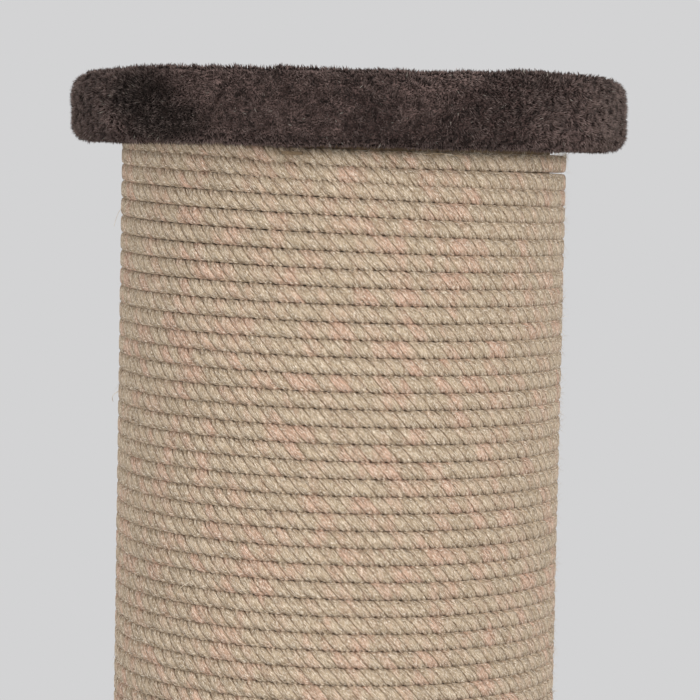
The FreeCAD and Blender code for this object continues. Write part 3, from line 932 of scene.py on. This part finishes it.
base_profile = rounded(
    [
        (BASE_FOLD_EDGE, base_board_low.z / MM, 0, 3.0),
        (BASE_FOLD_EDGE, base_underside + PILE_UNDER_BASE, 1.0, 2.5),
        (base_outside - PILE, base_underside + PILE_UNDER_BASE, 5.0, 2.0),
        (base_outside - PILE, BASE_TOP - PILE, 7.5, 3.0),
        (POST_RECESS, BASE_TOP - PILE, 1.5, 1.5),
        (POST_RECESS, base_board_high.z / MM + PRESSED, 0, 12.0),
        (BOLT_HOLE_RADIUS, base_board_high.z / MM + PRESSED, 0, 2.0),
        (BOLT_HOLE_RADIUS, base_board_high.z / MM, 0, 24.0),
        (base_board_radius + BOARD_FIT, base_board_high.z / MM, 0, 9.0),
        (base_board_radius + BOARD_FIT, base_board_low.z / MM, 0, 12.0),
    ],
    corner_steps=5,
)


def seen_along(place, start, end):
    """How far a place lies from a line drawn on the cap, in millimetres, seen from the front."""
    seen, first, last = (Vector((p[0], p[-1])) for p in (place, start, end))
    run = last - first
    f = min(1.0, max(0.0, (seen - first).dot(run) / run.length_squared))
    return (seen - first - run * f).length


# Marks that the cap's plush carries, as seen from the front: (x, height), (x, height), width, depth
CAP_FOLDS = (
    ((-41.0, CAP_TOP - 3.5), (-44.5, CAP_TOP - 12.0), 1.6, 1.3),
    ((-41.0, CAP_TOP - 4.0), (-26.0, CAP_TOP - 2.5), 2.0, 1.0),
    ((-52.0, CAP_TOP - 5.0), (-42.0, CAP_TOP - 4.5), 2.4, 0.8),
    ((26.0, CAP_TOP - 3.0), (38.0, CAP_TOP - 7.5), 3.0, 0.6),
    ((67.0, CAP_TOP - 7.0), (84.0, CAP_TOP - 12.0), 3.5, 0.9),
    ((-92.0, CAP_TOP - 16.0), (-86.0, CAP_TOP - 22.0), 2.5, 0.8),
)


def cap_form(place, normal):
    """Lumps, folds and a slightly sagging edge in the cap's plush, in millimetres."""
    radius = from_axis(place)
    by_post = radius < POST_RECESS + 0.5 and place.z < CAP_TOP - 8
    by_board = radius < cap_board_radius + 0.5 and CAP_UNDERSIDE + 4 < place.z < CAP_TOP - 4
    if by_post or by_board:
        return Vector()
    front = smooth_step(20.0, -20.0, place.y)
    lump = uneven(place, 30.0, 1) * 0.9 + uneven(place, 11.0, 2) * 0.55
    lump += uneven(place, 3.4, 3) * 0.75
    for start, end, width, depth in CAP_FOLDS:
        away = seen_along(place, start, end) / width
        lump -= depth * front * math.exp(-away * away)
    edge = smooth_step(CAP_TOP - 12.0, CAP_TOP - 3.0, place.z) * smooth_step(60.0, 95.0, radius)
    left_end = smooth_step(-60.0, -88.0, place.x)
    sag = edge * (uneven(place, 42.0, 4) * 1.0 + 0.5 * front - 1.3 * front * left_end)
    aside = 1.3 * smooth_step(88.0, 97.0, radius)
    return normal * (lump * 0.9) + Vector((aside, 0.0, sag))


def base_form(place, normal):
    """Lumps in the base's plush, and below it the pleats between the staples."""
    radius = from_axis(place)
    if radius < base_board_radius + 0.5 and base_underside + 2.2 < place.z < BASE_TOP - 4:
        return Vector()
    if place.z < base_underside + 2.2 and radius < PLEATS_START:
        angle = math.atan2(place.x, -place.y)
        pleat = math.cos(angle * PLEATS + 2.2 * uneven(place, 30.0, 5))
        pleat *= smooth_step(PLEATS_START, BASE_FOLD_EDGE + 4, radius)
        cut = smooth_step(BASE_FOLD_EDGE + 14, BASE_FOLD_EDGE, radius)
        cut *= uneven(place, 16.0, 6) * 3.0 - 1.0
        outward = Vector((place.x, place.y, 0.0)).normalized()
        return Vector((0.0, 0.0, 0.45 + pleat * 0.45)) + outward * cut
    edge = smooth_step(BASE_TOP - 8.0, BASE_TOP, place.z)
    lump = uneven(place, 46.0, 7) * 0.9 + uneven(place, 17.0, 8) * 0.6
    lump += uneven(place, 6.5, 9) * 0.5
    beside_post = smooth_step(POST_RECESS + 1.0, POST_RECESS + 12.0, radius)
    return normal * (lump * (0.5 + 0.4 * edge) * beside_post)


def pile_tree():
    """Tufts that stand on a surface and lean with the nap."""
    tree, value, out = new_group(
        "pile",
        "GeometryNodeTree",
        {
            "Geometry": (GEOMETRY, None),
            "Density": (FLOAT, 1e6),
            "Length": (FLOAT, 3.0 * MM),
            "Width": (FLOAT, 0.35 * MM),
            "Seed": (INTEGER, 1),
            "Material": (MATERIAL, None),
        },
        {"Geometry": GEOMETRY},
    )
    points, normal = scattered(tree, value)
    place = add_node(tree, "GeometryNodeInputPosition")

    def swirl(scale):
        node = add_node(tree, "ShaderNodeTexNoise", {"Vector": place, "Scale": scale}, "Color")
        return vector_math(tree, "SUBTRACT", node, (0.5, 0.5, 0.5))

    def added(first, second, factor):
        return vector_math(tree, "MULTIPLY_ADD", second, (factor, factor, factor), first)

    lean = added(added(normal, swirl(28.0), 3.2), swirl(260.0), 3.2)
    lean = added(lean, xyz(tree, 0.0, 0.0, -1.0), 0.25)
    turn = add_node(tree, "FunctionNodeAlignRotationToVector", {"Vector": lean}, axis="Z")
    tuft = spike(tree, value, segments=1)
    tuft = store(tree, tuft, "tip", split(tree, place, "Z") / value["Length"])
    size = random_value(tree, 0.6, 1.25, value["Seed"])
    points = store(tree, points, "chance", random_value(tree, 0.0, 1.0, value["Seed"] + 50))
    tufts = add_node(
        tree,
        "GeometryNodeInstanceOnPoints",
        {"Points": points, "Instance": tuft, "Rotation": turn, "Scale": size},
    )
    end_group(tree, out, tufts, value["Material"])
    return tree


cap_mesh = lathe("cap_plush", cap_profile, 600, cap_form)
cap_cover = add_piece("cap_plush", cap_mesh, plush)
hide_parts("cap_cover")
base_mesh = lathe("base_plush", base_profile, 360, base_form)
base_cover = add_piece("base_plush", base_mesh, plush)
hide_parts("base_cover")

pile = pile_tree()


def surface_part(name, mesh, wanted):
    """A copy of a mesh with only the faces whose middle is wanted."""
    part = mesh.copy()
    part.name = name
    bm = bmesh.new()
    bm.from_mesh(part)
    away = [face for face in bm.faces if not wanted(face.calc_center_median() / MM, face.normal)]
    bmesh.ops.delete(bm, geom=away, context="FACES")
    bm.to_mesh(part)
    bm.free()
    return part


def add_pile(name, mesh, wanted, per_square_mm, length, width, seed):
    """One piece of plush pile on part of a cover."""
    piece = made_by(
        pile,
        name,
        {
            "Density": per_square_mm / MM**2,
            "Length": length * MM,
            "Width": width * MM,
            "Seed": seed,
            "Material": plush_tips,
        },
        surface_part(name + "_ground", mesh, wanted),
    )
    return piece


def on_cap_side(point, normal):
    return from_axis(point) > cap_outside - 10 and -0.9 < normal.z < 0.8


def on_cap_front_left(point, normal):
    return on_cap_side(point, normal) and point.y < 0 and point.x < 0


def on_cap_front_right(point, normal):
    return on_cap_side(point, normal) and point.y < 0 and point.x >= 0


def on_cap_back(point, normal):
    return on_cap_side(point, normal) and point.y >= 0


def on_cap_top(point, normal):
    return normal.z >= 0.8 and point.z > CAP_TOP - 10


def under_cap(point, normal):
    return normal.z <= -0.9 and from_axis(point) > POST_RECESS and point.z < CAP_UNDERSIDE + 5


def on_base_top(point, normal):
    return normal.z >= 0.5 and from_axis(point) > POST_RECESS and point.z > BASE_TOP - 10


def on_base_side(point, normal):
    return abs(normal.z) < 0.5 and from_axis(point) > base_outside - 10


def under_base(point, normal):
    return (
        normal.z <= -0.5
        and from_axis(point) > BASE_FOLD_EDGE + 1
        and point.z < base_underside + 3
    )


# Each with its tufts per square mm, their length and half width in mm, and a seed
cap_pile = [
    add_pile("cap_pile_front_left", cap_cover.data, on_cap_front_left, 4.9, 2.2, 0.18, 1),
    add_pile("cap_pile_front_right", cap_cover.data, on_cap_front_right, 4.9, 2.2, 0.18, 8),
    add_pile("cap_pile_back", cap_cover.data, on_cap_back, 2.1, 2.3, 0.27, 2),
    add_pile("cap_pile_top", cap_cover.data, on_cap_top, 0.95, 2.0, 0.37, 3),
    add_pile("cap_pile_under", cap_cover.data, under_cap, 0.8, 1.7, 0.36, 4),
]
base_pile = [
    add_pile("base_pile_top", base_cover.data, on_base_top, 0.34, 3.0, 0.53, 5),
    add_pile("base_pile_side", base_cover.data, on_base_side, 0.45, 3.0, 0.5, 6),
    add_pile("base_pile_under", base_cover.data, under_base, 0.25, 2.2, 0.5, 7),
]


# Camera, lights and surroundings --------------------------------------------------------------


# The photograph's view, fitted to the outline of the cap and post
CAMERA_LENS = 152.02
CAMERA_DOWN, CAMERA_ROLL = math.radians(4.11), math.radians(1.17)
CAMERA_PLACE = (3.57 * MM, -1.082, (CAP_UNDERSIDE + 4.65) * MM)
FLOOR_RADIUS = 2.0
FLOOR_SIDES = 96


def add_camera():
    """The photograph's view: level with the cap's underside, a metre away, leaning a little."""
    camera = bpy.data.objects.new("camera", bpy.data.cameras.new("camera"))
    bpy.context.scene.collection.objects.link(camera)
    camera.data.sensor_width = 36.0
    camera.data.lens = CAMERA_LENS
    camera.data.clip_start, camera.data.clip_end = 0.05, 50.0
    down, roll = CAMERA_DOWN, CAMERA_ROLL
    right = Vector((1, 0, 0))
    up = Vector((0, math.sin(down), math.cos(down)))
    forward = Vector((0, math.cos(down), -math.sin(down)))
    rolled_right = right * math.cos(roll) + up * math.sin(roll)
    rolled_up = up * math.cos(roll) - right * math.sin(roll)
    turn = Matrix((rolled_right, rolled_up, -forward)).transposed().to_4x4()
    camera.matrix_world = Matrix.Translation(CAMERA_PLACE) @ turn
    bpy.context.scene.camera = camera


def add_lamp(name, place, target, size, watts):
    lamp = bpy.data.lights.new(name, "AREA")
    lamp.shape = "DISK"
    lamp.size = size
    lamp.energy = watts
    holder = bpy.data.objects.new(name, lamp)
    bpy.context.scene.collection.objects.link(holder)
    holder.location = place
    holder.rotation_euler = (Vector(target) - Vector(place)).to_track_quat("-Z", "Y").to_euler()


def add_world():
    """Soft even light from all round, and a pale grey backdrop."""
    world = bpy.data.worlds.new("studio")
    bpy.context.scene.world = world
    world.use_nodes = True
    tree = world.node_tree
    path = tree.nodes.new("ShaderNodeLightPath").outputs
    seen = Field(tree, path["Is Camera Ray"])
    seen = seen.math("MAXIMUM", Field(tree, path["Is Glossy Ray"]))
    seen = seen.math("MAXIMUM", Field(tree, path["Is Transmission Ray"]))
    colour = mix_colour(tree, seen, grey(0.56), linear(211, 211, 212))
    connect(tree, colour, tree.nodes["Background"].inputs["Color"])
    tree.nodes["Background"].inputs["Strength"].default_value = 1.0


def add_floor():
    """A pale round floor, open under the base, that fades into the backdrop.

    It is seen only from above, so that the underside can be looked at and is lit.
    """
    mesh = bpy.data.meshes.new("floor")
    bm = bmesh.new()
    inner, outer = (
        bmesh.ops.create_circle(bm, segments=FLOOR_SIDES, radius=radius)["verts"]
        for radius in ((base_outside - 4) * MM, FLOOR_RADIUS)
    )
    for i in range(FLOOR_SIDES):
        k = (i + 1) % FLOOR_SIDES
        bm.faces.new((inner[i], outer[i], outer[k], inner[k]))
    bm.normal_update()
    if sum(face.normal.z for face in bm.faces) < 0:
        bmesh.ops.reverse_faces(bm, faces=bm.faces)
    bm.to_mesh(mesh)
    bm.free()
    floor = bpy.data.objects.new("floor", mesh)
    bpy.context.scene.collection.objects.link(floor)
    material, tree, shader = new_material("floor", {"Roughness": 0.9})
    shader.inputs["Base Color"].default_value = linear(222, 222, 222)
    away = vector_math(tree, "LENGTH", object_place(tree), output=1)
    back = add_node(tree, "ShaderNodeNewGeometry", output="Backfacing")
    clear = add_node(tree, "ShaderNodeBsdfTransparent")
    fade = away.between(0.7, 1.7).math("MAXIMUM", back)
    mixed = {0: fade, 1: Field(tree, shader.outputs[0]), 2: clear}
    shown = add_node(tree, "ShaderNodeMixShader", mixed)
    connect(tree, shown, tree.nodes["Material Output"].inputs["Surface"])
    mesh.materials.append(material)


add_camera()
add_world()
add_lamp("key", (1.2, -1.7, 1.0), (0, 0, 0.5), 1.3, 27.0)
add_lamp("fill", (-1.4, -1.2, 0.7), (0, 0, 0.45), 1.2, 12.0)
add_floor()
bpy.context.scene.view_settings.view_transform = "Standard"
